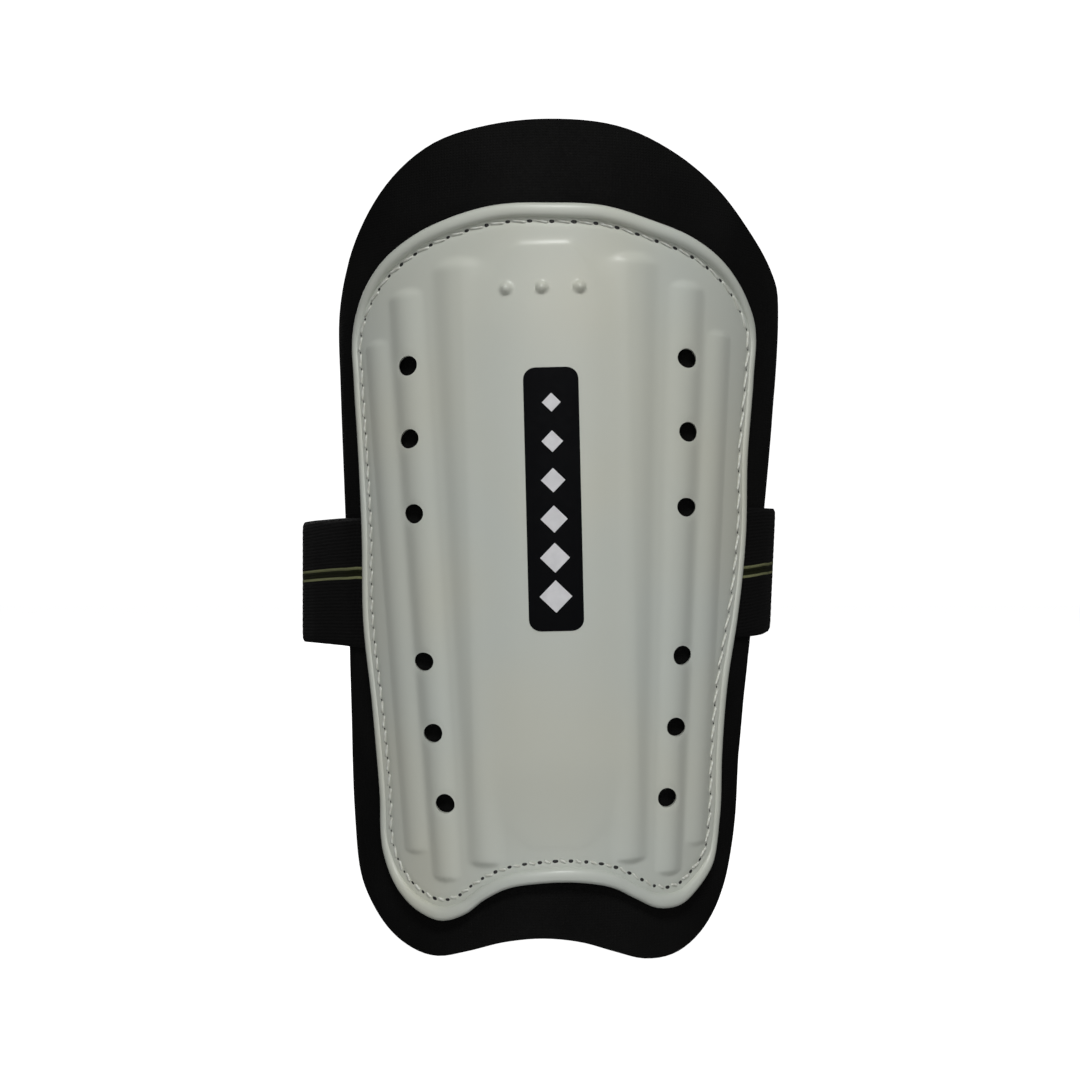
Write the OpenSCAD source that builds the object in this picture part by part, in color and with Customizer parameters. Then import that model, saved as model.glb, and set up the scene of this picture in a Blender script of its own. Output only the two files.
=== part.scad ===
// Shin guard: a moulded shell sewn to a foam backing, worn on the front of the lower leg.
// An elastic strap sewn under each side of the shell closes behind the calf with hook and loop.
// +Z runs up the leg, the front faces -Y, and the origin is on the leg's axis at mid height.
// Flat patterns are lists of [across, up] in millimetres, measured on the backing's front
// face, and each is wrapped round a cone that widens towards the knee.

/* [Leg wrap] */
// Radius of the backing's front face at mid height
wrap_radius = 69; // [67:0.5:71]
// Growth of that radius for each millimetre up the leg
wrap_taper = 0.045; // [0.03:0.005:0.055]

/* [Pad] */
// Height of the foam backing
pad_height = 233; // [225:1:245]
// Thickness of the fabric on the backing's front
facing_thick = 0.8; // [0.5:0.1:1.2]
// Thickness of the backing's foam
foam_thick = 4.8; // [3:0.1:6]
// Thickness of the lining against the leg
lining_thick = 0.8; // [0.5:0.1:1.2]

/* [Shell] */
// Turn of the shell's moulded pattern on the backing, in degrees
shell_tilt = 1.35; // [0:0.05:2.5]
// Wall thickness of the moulded sheet
shell_wall = 1.8; // [1.6:0.1:2]
// Height of the raised centre panel above the backing
panel_rise = 3.7; // [3.4:0.1:4.2]
// Height of the ribs above the backing
rib_rise = 3.8; // [3.7:0.1:5]
// Diameter of the rolled rim at the shell's top and bottom
rim_dia = 3.8; // [3.2:0.1:4.2]
// Diameter of the vent holes
vent_dia = 5.4; // [4:0.1:6]
// Diameter of the three round pips at the top
pip_dia = 3.6; // [3:0.1:4.5]

/* [Badge] */
// Width of the printed badge
badge_width = 14.5; // [8:0.5:18]
// Height of the printed badge
badge_height = 72; // [40:1:90]

/* [Stitching] */
// Distance from the shell's top and bottom edges to the row of stitches
stitch_inset = 5.3; // [5:0.1:6.5]
// Length of one stitch with its gap
stitch_pitch = 5.2; // [4.5:0.1:7]
// Diameter of the shell's thread
thread_dia = 0.9; // [0.6:0.1:1.1]

/* [Strap] */
// Width of the elastic
strap_width = 38; // [32:1:38]
// Thickness of the elastic
strap_thick = 1.4; // [1:0.1:1.6]
// Thickness of each hook and loop patch
patch_thick = 1.2; // [0.8:0.1:1.5]
// Width of each hook and loop patch
patch_width = 33; // [26:1:35]

/* [Hidden] */
$fn = 64;
rim_r = rim_dia / 2;
rim_side = 0.64;            // size of the rim along the shell's sides, as a part of its full size
stitch_side = 0.77;         // the same for the distance of the stitches from the edge
height_scale = pad_height / 233;
hinge_gap = 0.3;            // clearance wherever two moving bodies meet
seat_gap = 0.03;            // clearance between two pieces that are sewn flat on each other
loop_steps = 4;             // curve steps between two outline points
rim_pitch = 5.5;            // distance between the rings of the swept rim
rim_sides = 8;
shell_mesh = [46, 34];      // cells across and up the wrapped sheets
backing_mesh = [20, 26];
shell_corners = [5, 14, 28, 36];    // outline points where sides, top and bottom meet
backing_corners = [7, 13, 25, 31];  // in the order upper right, lower right, lower left, upper left

// Strap ends that are sewn under the shell: height of the centre, hidden end and free end
root_left = [-11.1, -53, -76];
root_right = [-8, 55, 83];

// Arc that the straps follow behind the calf: centre, radius and height
back_centre = [-4, -36];
back_radius = 90;
back_height = -13;
back_step = 2;
short_end = -6;             // angles along that arc, from straight back towards +X
tab_start = 4;
tab_end = 34;
short_join = 40;
long_join = -14;
path_steps = 4;             // curve steps between two points of a strap
tab_offset = strap_thick + 2 * (patch_thick + seat_gap) + hinge_gap;
tab_corner = 8;             // corner radius of the tab's free end
box_stitch = 3;             // length of one stitch on the closure
box_thread = 0.7;
box_margin = 1.5;           // distance from the patch's edge to its stitches

// Ribs of the right half: top, bottom, half widths at the foot there, and share of the rib height
ribs = [
    [[23.9, 76.3], [19.9, -87], 8.8, 5.9, 1.12],
    [[40.6, 70], [31.7, -92], 6.6, 4.9, 0.85],
    [[52, 57.5], [41.7, -85], 5, 4.4, 0.45]
];
rib_end = 2.2;              // how much shorter a rib's ends are than its flanks
// Vent holes of the right half
vents = [[40.1, 51.2], [40.2, 30.8], [39.3, 9.8], [37.2, -31.8], [34.8, -51.9], [31.5, -71.6]];
pips = [-10.2, -0.8, 9.2];
pip_height = 70.2;
panel_half = 25;            // half width of the raised panel
panel_ends = [-85.7, 84.4];
panel_edge = 3.2;           // width of the step round the raised panel
panel_run = 26;             // length of the gentle slope at its ends
panel_step = 0.62;          // share of the panel's height in that step
pattern_shift = -0.3;       // place of the moulded pattern's middle across the backing
badge_centre = [1, 12.5];
badge_corner = 3.2;
badge_thick = 0.3;

// Edge of the backing, clockwise from the top centre
backing_edge = sized([
    [0, 115.9], [20, 114.2], [35, 109], [50, 101.4], [68, 89.8], [83, 81.5], [93, 76],
    [96.6, 67], [92.6, 47], [82.3, 10], [72.1, -28], [66.5, -60], [64.2, -85], [57.3, -102],
    [47, -112], [37, -116.2], [27, -116.3], [18, -113.5], [8, -110.3], [-3, -109.2],
    [-14, -110.7], [-24, -113.8], [-35, -116.5], [-47, -114.5], [-61, -107], [-70.5, -98],
    [-74.2, -82], [-74.2, -50], [-75.2, 10], [-76.9, 48], [-76.7, 68], [-71, 80.5], [-60, 94],
    [-48, 104], [-34, 111.3], [-18, 114.7]
]);

// Edge of the shell, clockwise from the top centre
shell_edge = sized([
    [0, 92.9], [14, 92.3], [27, 89.2], [40, 85.5], [52, 79.5], [61.7, 70.9], [67.2, 62],
    [66.7, 50], [64, 26], [64, 4], [60.4, -20], [55.9, -38], [53.6, -60], [52.9, -79], [50.2, -91],
    [44, -97.5], [37, -101.7], [30, -101.8], [23.5, -98.7], [16.5, -95], [8, -93.2], [-3, -93.4],
    [-12, -95.2], [-18.5, -98.7], [-24, -103], [-31, -105.6], [-39, -103.7], [-47.5, -97.5],
    [-53.2, -87.5], [-54.3, -72], [-57.1, -48], [-61.1, -22], [-61.2, 5], [-62.6, 28], [-64.1, 48],
    [-64.5, 60], [-60.2, 69.7], [-52.5, 78.2], [-40.3, 85.6], [-27, 90.2], [-14, 92.8]
]);

// ---- curves ----

function sized(points) = [for (p = points) [p[0], p[1] * height_scale]];
function unit(v) = v / norm(v);
function at_loop(points, i) = points[(i + len(points)) % len(points)];

// Slope of a curve at b, with neighbours a and c
function slope(a, b, c) =
    let (d0 = norm(b - a), d1 = norm(c - b))
    (b - a) / d0 - (c - a) / (d0 + d1) + (c - b) / d1;

function hermite(b, c, m0, m1, t) =
    (2 * pow(t, 3) - 3 * pow(t, 2) + 1) * b + (pow(t, 3) - 2 * pow(t, 2) + t) * m0
    + (3 * pow(t, 2) - 2 * pow(t, 3)) * c + (pow(t, 3) - pow(t, 2)) * m1;

function span_points(a, b, c, d, steps) =
    let (length = norm(c - b))
    [for (k = [0:steps - 1]) hermite(b, c, length * slope(a, b, c), length * slope(b, c, d), k / steps)];

// Smooth closed curve through all the points
function smooth_loop(points, steps) = [
    for (i = [0:len(points) - 1])
        each span_points(at_loop(points, i - 1), points[i], at_loop(points, i + 1),
                         at_loop(points, i + 2), steps)
];

// Smooth open curve through all the points
function smooth_path(points, steps) =
    let (last = len(points) - 1,
         ends = concat([2 * points[0] - points[1]], points, [2 * points[last] - points[last - 1]]))
    concat([for (i = [1:last]) each span_points(ends[i - 1], ends[i], ends[i + 1], ends[i + 2], steps)],
           [points[last]]);

// Directions along a closed curve
function tangents(loop) =
    [for (i = [0:len(loop) - 1]) unit(at_loop(loop, i + 1) - at_loop(loop, i - 1))];

// Closed clockwise curve moved inwards by a distance, of which its upright parts take a share
function inset(loop, distance, side) =
    let (t = tangents(loop))
    [for (i = [0:len(loop) - 1]) loop[i] + distance * side_share(t[i], side) * [t[i][1], -t[i][0]]];

function side_share(tangent, side) = 1 - (1 - side) * pow(tangent[1], 2);

// Running length along a closed curve, one more value than it has points
function loop_lengths(loop) = [
    for (i = 0, s = 0; i <= len(loop); s = s + norm(at_loop(loop, i + 1) - at_loop(loop, i)), i = i + 1) s
];

// Evenly spaced points on a closed curve, about one pitch apart
function spaced_loop(loop, pitch) =
    let (lengths = loop_lengths(loop),
         total = lengths[len(loop)],
         across = [for (i = [0:len(loop)]) [lengths[i], at_loop(loop, i)[0]]],
         up = [for (i = [0:len(loop)]) [lengths[i], at_loop(loop, i)[1]]],
         count = round(total / pitch))
    [for (i = [0:count - 1]) [lookup(i * total / count, across), lookup(i * total / count, up)]];

// Grid of flat points over a rectangle with round corners
function rounded_grid(size, centre, corner) =
    let (arc = [for (a = [0:15:90]) size / 2 - corner * [1 - sin(a), 1 - cos(a)]],
         lower = [for (p = arc) [p[0], -p[1]]],
         upper = [for (i = [len(arc) - 1:-1:0]) arc[i]])
    [for (p = concat(lower, upper)) [for (k = [-1:0.25:1]) centre + [k * p[0], p[1]]]];

// ---- wrapping ----

function wrap_r(z) = wrap_radius + wrap_taper * z;
function wrap_angle(p) = p[0] / wrap_r(p[1]) * 180 / PI;
function radial(angle) = [sin(angle), -cos(angle), 0];
function along(angle) = [cos(angle), sin(angle), 0];
function wrapped(p, rise) = (wrap_r(p[1]) + rise) * radial(wrap_angle(p)) + [0, 0, p[1]];
function tilted(p) = [p[0] * cos(shell_tilt) - p[1] * sin(shell_tilt) + pattern_shift,
                      p[0] * sin(shell_tilt) + p[1] * cos(shell_tilt)];

// Evenly spaced points on a closed curve between two of its points, given by their indexes
function side_points(loop, first, last, count) =
    let (lengths = loop_lengths(loop),
         n = len(loop),
         total = lengths[n],
         from = lengths[first],
         to = lengths[last] + (last < first ? total : 0),
         across = [for (i = [0:2 * n]) [lengths[i % n] + (i < n ? 0 : total), at_loop(loop, i)[0]]],
         up = [for (i = [0:2 * n]) [lengths[i % n] + (i < n ? 0 : total), at_loop(loop, i)[1]]])
    [for (k = [0:count]) let (s = from + (to - from) * k / count) [lookup(s, across), lookup(s, up)]];

function reversed(list) = [for (i = [len(list) - 1:-1:0]) list[i]];

// Grid of flat points that fills an outline, from its four sides
function filled(edge, corners, mesh) =
    let (loop = smooth_loop(edge, loop_steps),
         c = corners * loop_steps,
         right = reversed(side_points(loop, c[0], c[1], mesh[1])),
         bottom = reversed(side_points(loop, c[1], c[2], mesh[0])),
         left = side_points(loop, c[2], c[3], mesh[1]),
         top = side_points(loop, c[3], c[0], mesh[0]))
    [for (j = [0:mesh[1]]) let (v = j / mesh[1])
        [for (i = [0:mesh[0]]) let (u = i / mesh[0])
            (1 - v) * bottom[i] + v * top[i] + (1 - u) * left[j] + u * right[j]
            - (1 - v) * ((1 - u) * bottom[0] + u * bottom[mesh[0]])
            - v * ((1 - u) * top[0] + u * top[mesh[0]])]];

// Wrapped sheet over a grid of flat points, between two grids of heights
module wrapped_sheet(grid, lows, highs) {
    rows = len(grid) - 1;
    cols = len(grid[0]) - 1;
    count = (rows + 1) * (cols + 1);
    function id(j, i) = j * (cols + 1) + i;
    rim = concat([for (i = [0:cols - 1]) id(0, i)], [for (j = [0:rows - 1]) id(j, cols)],
                 [for (i = [cols:-1:1]) id(rows, i)], [for (j = [rows:-1:1]) id(j, 0)]);
    polyhedron(points = [
        for (heights = [lows, highs], j = [0:rows], i = [0:cols]) wrapped(grid[j][i], heights[j][i])
    ], faces = concat(
        [for (j = [0:rows - 1], i = [0:cols - 1])
            let (a = id(j, i), b = id(j, i + 1), c = id(j + 1, i + 1), d = id(j + 1, i), n = count)
            each [[a, b, c], [a, c, d], [n + a, n + c, n + b], [n + a, n + d, n + c]]],
        [for (k = [0:len(rim) - 1])
            let (a = rim[k], b = at_loop(rim, k + 1))
            each [[b, a, count + a], [b, count + a, count + b]]]
    ));
}

function level(grid, height) = [for (row = grid) [for (p = row) height]];

// ---- shell ----

// Smooth step from 0 to 1 over a distance
function ramp(x, distance) = let (t = min(1, max(0, x / distance))) t * t * (3 - 2 * t);

function untilted(p) =
    let (across = p[0] - pattern_shift)
    [across * cos(shell_tilt) + p[1] * sin(shell_tilt), -across * sin(shell_tilt) + p[1] * cos(shell_tilt)];

// Height of a rib over the flange: a rounded ridge with short round ends
function rib_height(p, rib) =
    let (length = norm(rib[1] - rib[0]),
         down = unit(rib[1] - rib[0]),
         from_top = [abs(p[0]), p[1]] - rib[0],
         run = from_top * down,
         past = rib_end * (max(run - length, 0) + max(-run, 0)),
         half = rib[2] + (rib[3] - rib[2]) * min(1, max(0, run / length)),
         d = norm([past, from_top * [-down[1], down[0]]]) / half)
    d < 1 ? rib[4] * (rib_rise - shell_wall) * pow(1 - d * d, 1.25) : 0;

function panel_height(p) =
    let (end = min(panel_ends[1] - p[1], p[1] - panel_ends[0]),
         side = ramp(panel_half - abs(p[0]), panel_edge))
    (panel_rise - shell_wall) * side
    * (panel_step * ramp(end, panel_edge) + (1 - panel_step) * ramp(end, panel_run));

// Height of the shell's outer face above the backing
function shell_height(flat) =
    let (p = untilted(flat))
    shell_wall + max(panel_height(p), max([for (rib = ribs) rib_height(p, rib)]));

// The holes are round as seen from the front, along the direction in which the mould opens
module vent_holes() {
    for (side = [-1, 1], vent = vents) {
        spot = wrapped(tilted([side * vent[0], vent[1]]), shell_wall);
        translate([spot[0], spot[1] + 8, spot[2]])
            rotate([90, 0, 0])
                cylinder(h = 16, r = vent_dia / 2);
    }
}

module pip_bumps() {
    for (across = pips)
        translate(wrapped(tilted([across, pip_height]), panel_rise - pip_dia / 8))
            sphere(r = pip_dia / 2);
}

module shell() color([0.86, 0.87, 0.83]) {
    grid = filled(inset(shell_edge, rim_r, rim_side), shell_corners, shell_mesh);
    outer = [for (row = grid) [for (p = row) shell_height(p)]];
    inner = [for (row = outer) [for (h = row) h - shell_wall]];
    difference() {
        union() {
            wrapped_sheet(grid, inner, outer);
            pip_bumps();
        }
        vent_holes();
    }
}

module shell_rim() color([0.82, 0.83, 0.79]) {
    path = spaced_loop(inset(smooth_loop(shell_edge, loop_steps), rim_r, rim_side), rim_pitch);
    n = len(path);
    radii = [for (t = tangents(path)) rim_r * side_share(t, rim_side)];
    spine = [for (i = [0:n - 1]) wrapped(path[i], radii[i])];
    polyhedron(points = [
        for (i = [0:n - 1], k = [0:rim_sides - 1])
            let (out = radial(wrap_angle(path[i])),
                 run = unit(at_loop(spine, i + 1) - at_loop(spine, i - 1)),
                 a = 360 * k / rim_sides)
            spine[i] + radii[i] * (cos(a) * out + sin(a) * unit(cross(run, out)))
    ], faces = [
        for (i = [0:n - 1], k = [0:rim_sides - 1])
            let (j = (i + 1) % n, m = (k + 1) % rim_sides)
            each [[i * rim_sides + k, i * rim_sides + m, j * rim_sides + m],
                  [i * rim_sides + k, j * rim_sides + m, j * rim_sides + k]]
    ]);
}

// Straight piece of thread between two points
module thread(start, end, dia) {
    run = end - start;
    translate(start)
        rotate([0, acos(run[2] / norm(run)), atan2(run[1], run[0])])
            cylinder(h = norm(run), r = dia / 2, $fn = 16);
}

module shell_stitching() color([0.78, 0.78, 0.75]) {
    seam = spaced_loop(inset(smooth_loop(shell_edge, loop_steps), stitch_inset, stitch_side),
                       stitch_pitch);
    rise = shell_wall + thread_dia / 4;
    for (i = [0:len(seam) - 1]) {
        gap = (at_loop(seam, i + 1) - seam[i]) * 0.15;
        thread(wrapped(seam[i] + gap, rise), wrapped(at_loop(seam, i + 1) - gap, rise), thread_dia);
    }
}

module front_badge() color([0.06, 0.06, 0.06]) {
    flat = rounded_grid([badge_width, badge_height], badge_centre, badge_corner);
    grid = [for (row = flat) [for (p = row) tilted(p)]];
    wrapped_sheet(grid, level(grid, panel_rise), level(grid, panel_rise + badge_thick));
}

// ---- backing ----

backing_grid = filled(backing_edge, backing_corners, backing_mesh);

module backing_layer(low, high) {
    wrapped_sheet(backing_grid, level(backing_grid, low), level(backing_grid, high));
}

module facing_fabric() color([0.08, 0.08, 0.08]) backing_layer(-facing_thick, 0);

module foam_core() color([0.12, 0.12, 0.12])
    backing_layer(-facing_thick - foam_thick, -facing_thick);

module lining_fabric() color([0.1, 0.1, 0.1])
    backing_layer(-facing_thick - foam_thick - lining_thick, -facing_thick - foam_thick);

// ---- strap ----

// Point at a height that keeps the angle round the leg of a point at a root's centre height
function same_angle(root, across, up) = [across * wrap_r(up) / wrap_r(root[0]), up];

// Grid of flat points over a strap end
function root_grid(root) =
    let (low = min(root[1], root[2]), high = max(root[1], root[2]))
    [for (v = [-0.5:0.25:0.5])
        [for (u = [0:0.1:1]) same_angle(root, low + (high - low) * u, root[0] + strap_width * v)]];

module strap_root(root) color([0.05, 0.05, 0.05]) {
    grid = root_grid(root);
    wrapped_sheet(grid, level(grid, seat_gap), level(grid, strap_thick));
}

module strap_root_left() strap_root(root_left);

module strap_root_right() strap_root(root_right);

// Band standing on edge along a path, with a width at each path point and a shift outwards
module band(path, widths, thick, shift) {
    n = len(path);
    last = n - 1;
    points = [
        for (i = [0:last])
            let (run = unit(path[min(i + 1, last)] - path[max(i - 1, 0)]),
                 out = unit([run[1], -run[0], 0]) * loop_turn(path))
            for (corner = [[-1, -1], [-1, 1], [1, 1], [1, -1]])
                path[i] + out * (shift + corner[0] * thick / 2) + [0, 0, corner[1] * widths[i] / 2]
    ];
    sides = [
        for (i = [0:last - 1], k = [0:3])
            let (m = (k + 1) % 4)
            each [[4 * i + k, 4 * i + m, 4 * i + 4 + m], [4 * i + k, 4 * i + 4 + m, 4 * i + 4 + k]]
    ];
    caps = [[3, 2, 1, 0], [4 * last, 4 * last + 1, 4 * last + 2, 4 * last + 3]];
    faces = concat(sides, caps);
    polyhedron(points = points, faces = loop_turn(path) < 0 ? [for (f = faces) reversed(f)] : faces);
}

// +1 for a path that turns with the leg on its left, -1 for one with the leg on its right
function loop_turn(path) =
    let (m = floor(len(path) / 2), a = path[m] - path[0], b = path[len(path) - 1] - path[m])
    sign(a[0] * b[1] - a[1] * b[0]);

function same_width(path, width) = [for (p = path) width];

function back_point(angle, rise) =
    [back_centre[0] + (back_radius + rise) * sin(angle), back_centre[1] + (back_radius + rise) * cos(angle),
     back_height];

// Points of the arc behind the calf between two angles
function back_arc(start, end, rise) =
    let (count = round(abs(end - start) / back_step))
    [for (k = [0:count]) back_point(start + (end - start) * k / count, rise)];

// First point of a strap, just past the free end of its root
function strap_start(root) =
    let (p = [root[2], root[0]])
    wrapped(p, strap_thick / 2) + sign(root[2]) * hinge_gap * along(wrap_angle(p));

long_path = concat(
    smooth_path([strap_start(root_left), [-73.5, -9.5, -11.5], [-78.9, 4, -12], [-76.5, 22, -13],
                 [-65.5, 38, -13.2], [-48.5, 48.5, -13.1], back_point(long_join, tab_offset)],
                path_steps),
    back_arc(long_join + back_step, tab_start, tab_offset));
short_path = concat(
    smooth_path([strap_start(root_right), [69, -11, -7.8], [70.5, 3, -7.9], [68, 16, -9],
                 [62, 25.8, -10.8], back_point(short_join, 0)], path_steps),
    back_arc(short_join - back_step, short_end, 0));

module long_strap() color([0.05, 0.05, 0.05])
    band(long_path, same_width(long_path, strap_width), strap_thick, 0);

module short_strap() color([0.05, 0.05, 0.05])
    band(short_path, same_width(short_path, strap_width), strap_thick, 0);

tab_path = back_arc(tab_start + 0.2, tab_end, tab_offset);

// Half the width lost at a distance from a rounded end
function corner_loss(distance) =
    distance >= tab_corner ? 0 : tab_corner - sqrt(pow(tab_corner, 2) - pow(tab_corner - distance, 2));

module closure_tab() color([0.07, 0.07, 0.07]) {
    tip = tab_path[len(tab_path) - 1];
    widths = [for (p = tab_path) strap_width - 2 * corner_loss(norm(p - tip))];
    band(tab_path, widths, strap_thick, 0);
}

module hook_patch() color([0.15, 0.15, 0.15]) {
    path = back_arc(tab_start + 3, tab_end - 6, tab_offset);
    band(path, same_width(path, patch_width), patch_thick, -(strap_thick + patch_thick) / 2 - seat_gap);
}

module loop_patch() color([0.11, 0.11, 0.11]) {
    path = back_arc(short_end + 2, tab_end - 4, 0);
    band(path, same_width(path, patch_width), patch_thick, (strap_thick + patch_thick) / 2 + seat_gap);
}

// Row of stitches round a rectangle on the arc behind the calf
module box_stitching(start, end, rise) {
    half = patch_width / 2 - box_margin;
    count = round(abs(end - start) * PI / 180 * (back_radius + rise) / box_stitch);
    rows = round(2 * half / box_stitch);
    function spot(along, up) = back_point(start + (end - start) * along, rise) + [0, 0, half * up];
    for (up = [-1, 1], k = [0:count - 1])
        thread(spot((k + 0.15) / count, up), spot((k + 0.85) / count, up), box_thread);
    for (side = [0, 1], k = [0:rows - 1])
        thread(spot(side, 2 * (k + 0.15) / rows - 1), spot(side, 2 * (k + 0.85) / rows - 1), box_thread);
}

module hook_stitching() color([0.2, 0.2, 0.2])
    box_stitching(tab_start + 4, tab_end - 7, tab_offset + strap_thick / 2);

module loop_stitching() color([0.2, 0.2, 0.2])
    box_stitching(short_end + 3, tab_end - 5, -strap_thick / 2);

shell();
shell_rim();
shell_stitching();
front_badge();
facing_fabric();
foam_core();
lining_fabric();
strap_root_left();
strap_root_right();
long_strap();
closure_tab();
hook_patch();
hook_stitching();
short_strap();
loop_patch();
loop_stitching();
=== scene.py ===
# Looks of a shin guard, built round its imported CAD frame.
# Flat patterns are [across, up] in millimetres on the front of the backing; wrap() turns them
# into metres in the frame: +Z up the leg, the front faces -Y, the origin on the leg's axis.
import math
import bmesh
import bpy
import numpy as np
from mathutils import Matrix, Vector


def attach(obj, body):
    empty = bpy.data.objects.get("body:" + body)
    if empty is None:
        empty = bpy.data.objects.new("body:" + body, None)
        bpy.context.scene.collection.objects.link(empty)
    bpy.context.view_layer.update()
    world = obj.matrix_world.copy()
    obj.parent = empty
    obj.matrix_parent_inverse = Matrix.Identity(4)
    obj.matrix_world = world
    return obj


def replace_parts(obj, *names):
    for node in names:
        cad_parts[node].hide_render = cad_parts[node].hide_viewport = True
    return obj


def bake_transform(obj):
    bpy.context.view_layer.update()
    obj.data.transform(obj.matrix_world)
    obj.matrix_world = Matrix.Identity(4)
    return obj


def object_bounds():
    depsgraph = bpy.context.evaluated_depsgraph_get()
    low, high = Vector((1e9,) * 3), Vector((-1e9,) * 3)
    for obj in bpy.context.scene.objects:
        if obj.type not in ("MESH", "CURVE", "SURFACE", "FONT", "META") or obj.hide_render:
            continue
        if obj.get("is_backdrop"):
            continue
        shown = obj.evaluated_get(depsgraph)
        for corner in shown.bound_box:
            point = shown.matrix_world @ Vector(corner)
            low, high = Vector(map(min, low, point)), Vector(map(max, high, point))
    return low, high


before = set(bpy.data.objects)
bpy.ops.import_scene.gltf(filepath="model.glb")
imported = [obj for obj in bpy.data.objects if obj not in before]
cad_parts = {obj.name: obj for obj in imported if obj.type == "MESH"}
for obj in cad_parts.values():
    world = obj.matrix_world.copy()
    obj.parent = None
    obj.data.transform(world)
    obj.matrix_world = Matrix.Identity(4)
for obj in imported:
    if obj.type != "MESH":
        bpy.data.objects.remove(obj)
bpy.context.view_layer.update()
rng = np.random.default_rng(7)
MM = 0.001

# ---- sizes, in millimetres ----

WRAP_RADIUS, WRAP_TAPER = 69, 0.045
FACING_THICK, FOAM_THICK, LINING_THICK = 0.8, 4.8, 0.8
FOAM_FRONT = -FACING_THICK
FOAM_BACK = FOAM_FRONT - FOAM_THICK
LINING_BACK = FOAM_BACK - LINING_THICK
FACE_SWELL, EDGE_SWELL = 1.0, 0.4   # how far the foam's faces and its edge may swell
SWELL_FRAMES = 20

SHELL_TILT, PATTERN_SHIFT = math.radians(1.35), -0.3
SHELL_WALL = 1.8
PANEL_RISE, RIB_RISE = 3.7, 3.8
PANEL_HALF, PANEL_BOTTOM, PANEL_TOP = 25, -84.6, 84.4
# Each end of the panel rises by a short step and a long slope
PANEL_STEP, PANEL_RUN = 3.2, 26     # widths of the step and of the slope
FOOT_STEP = 0.45                    # width of the lower step, as a share of the upper one's
TOP_SHARE, FOOT_SHARE = 0.62, 0.36  # shares of the panel's height that the two steps rise by
# The step widens by STEP_SPREAD over the STEP_FADE that follow STEP_FLAT, out from the middle
STEP_FLAT, STEP_FADE, STEP_SPREAD = 6, 9, 10
# Ribs of the right half: top, bottom, half width at the foot at each, and share of the rib height
RIBS = [([23.9, 76.3], [19.9, -87], (8.8, 5.9), 1.12), ([40.6, 70], [31.7, -92], (6.6, 4.9), 0.85),
        ([52, 57.5], [41.7, -85], (5, 4.4), 0.45)]
RIB_END = 2.2                       # how much shorter a rib's ends are than its flanks
CREASE = 0.7                        # rounding where a rib meets the panel
RIM_RADIUS, RIM_SIDE = 1.9, 0.64    # the second is the rim's size along the sides, as a share
# Vent holes of the right half
VENTS = [[40.1, 51.2], [40.2, 30.8], [39.3, 9.8], [37.2, -31.8], [34.8, -51.9], [31.5, -71.6]]
VENT_RADIUS = 2.7
VENT_DISH = (0.15, 0.8)             # depth and width of the dished edge round each vent
PIPS, PIP_HEIGHT, PIP_RADIUS, PIP_RISE = (-10.2, -0.8, 9.2), 70.2, 1.7, 1.7
STITCH_TOP, STITCH_BOTTOM, STITCH_SIDE, THREAD_RADIUS = 4.8, 5.7, 0.77, 0.36
PITCH_LOW_LEFT, PITCH_UP_RIGHT = 4.2, 5.9
SEAM_CHANNEL = (0.22, 1.0)          # depth and half width of the channel under the stitches

BADGE_SIZE, BADGE_CENTRE, BADGE_CORNER = (14.5, 72), (1, 12.5), 3.2
DIAMONDS, DIAMOND_PITCH = 6, 10.6

STRAP_WIDTH, STRAP_THICK = 38, 1.4
PATCH_WIDTH, PATCH_THICK = 33, 1.2
HINGE_GAP, SEAT_GAP = 0.3, 0.03
ROOT_LEFT = (-11.1, -53, -76)     # height, hidden end and free end across the pattern
ROOT_RIGHT = (-8, 55, 83)
BACK_CENTRE, BACK_RADIUS, BACK_HEIGHT = (-4, -36), 90, -13
BACK_STEP = 2.0                   # degrees between the points of a strap on that arc
TAB_OFFSET = STRAP_THICK + 2 * (PATCH_THICK + SEAT_GAP) + HINGE_GAP
TAB_START, TAB_END, TAB_CORNER = 4, 34, 8
SHORT_END, SHORT_JOIN, LONG_JOIN = -6, 40, -14
PATH_PITCH = 1.1                  # distance between the rings of a tape
# Points of each strap between its sewn end and the arc behind the calf
LEFT_BOW = [[-73.5, -9.5, -11.5], [-78.9, 4, -12], [-76.5, 22, -13], [-65.5, 38, -13.2],
            [-48.5, 48.5, -13.1]]
RIGHT_BOW = [[68.6, -11, -7.8], [69.9, 3, -7.9], [67.7, 16, -9], [62, 25.8, -10.8]]
# Drift of the woven lines: lengths along the strap, then how far down at each
LEFT_LINES = ((8, 15, 28, 45, 58), (-1.15, -0.75, -0.45, 0.1, 0.35))
RIGHT_LINES = ((6, 20, 42), (1.75, 1.05, 1.05))
BOX_MARGIN, BOX_STITCH = 1.5, 3.0 # distance of the closure's seams from the edge, and their pitch

# Edge of the backing, clockwise from the top centre, and where its sides meet
BACKING_EDGE = [
    [0, 115.9], [20, 114.2], [35, 109], [50, 101.4], [68, 89.8], [83, 81.5], [93, 76],
    [96.6, 67], [92.6, 47], [82.3, 10], [72.1, -28], [66.5, -60], [64.2, -85], [57.3, -102],
    [47, -112], [37, -116.2], [27, -116.3], [18, -113.5], [8, -110.3], [-3, -109.2],
    [-14, -110.7], [-24, -113.8], [-35, -116.5], [-47, -114.5], [-61, -107], [-70.5, -98],
    [-74.2, -82], [-74.2, -50], [-75.2, 10], [-76.9, 48], [-76.7, 68], [-71, 80.5], [-60, 94],
    [-48, 104], [-34, 111.3], [-18, 114.7]]
BACKING_CORNERS = (7, 13, 25, 31)

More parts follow.
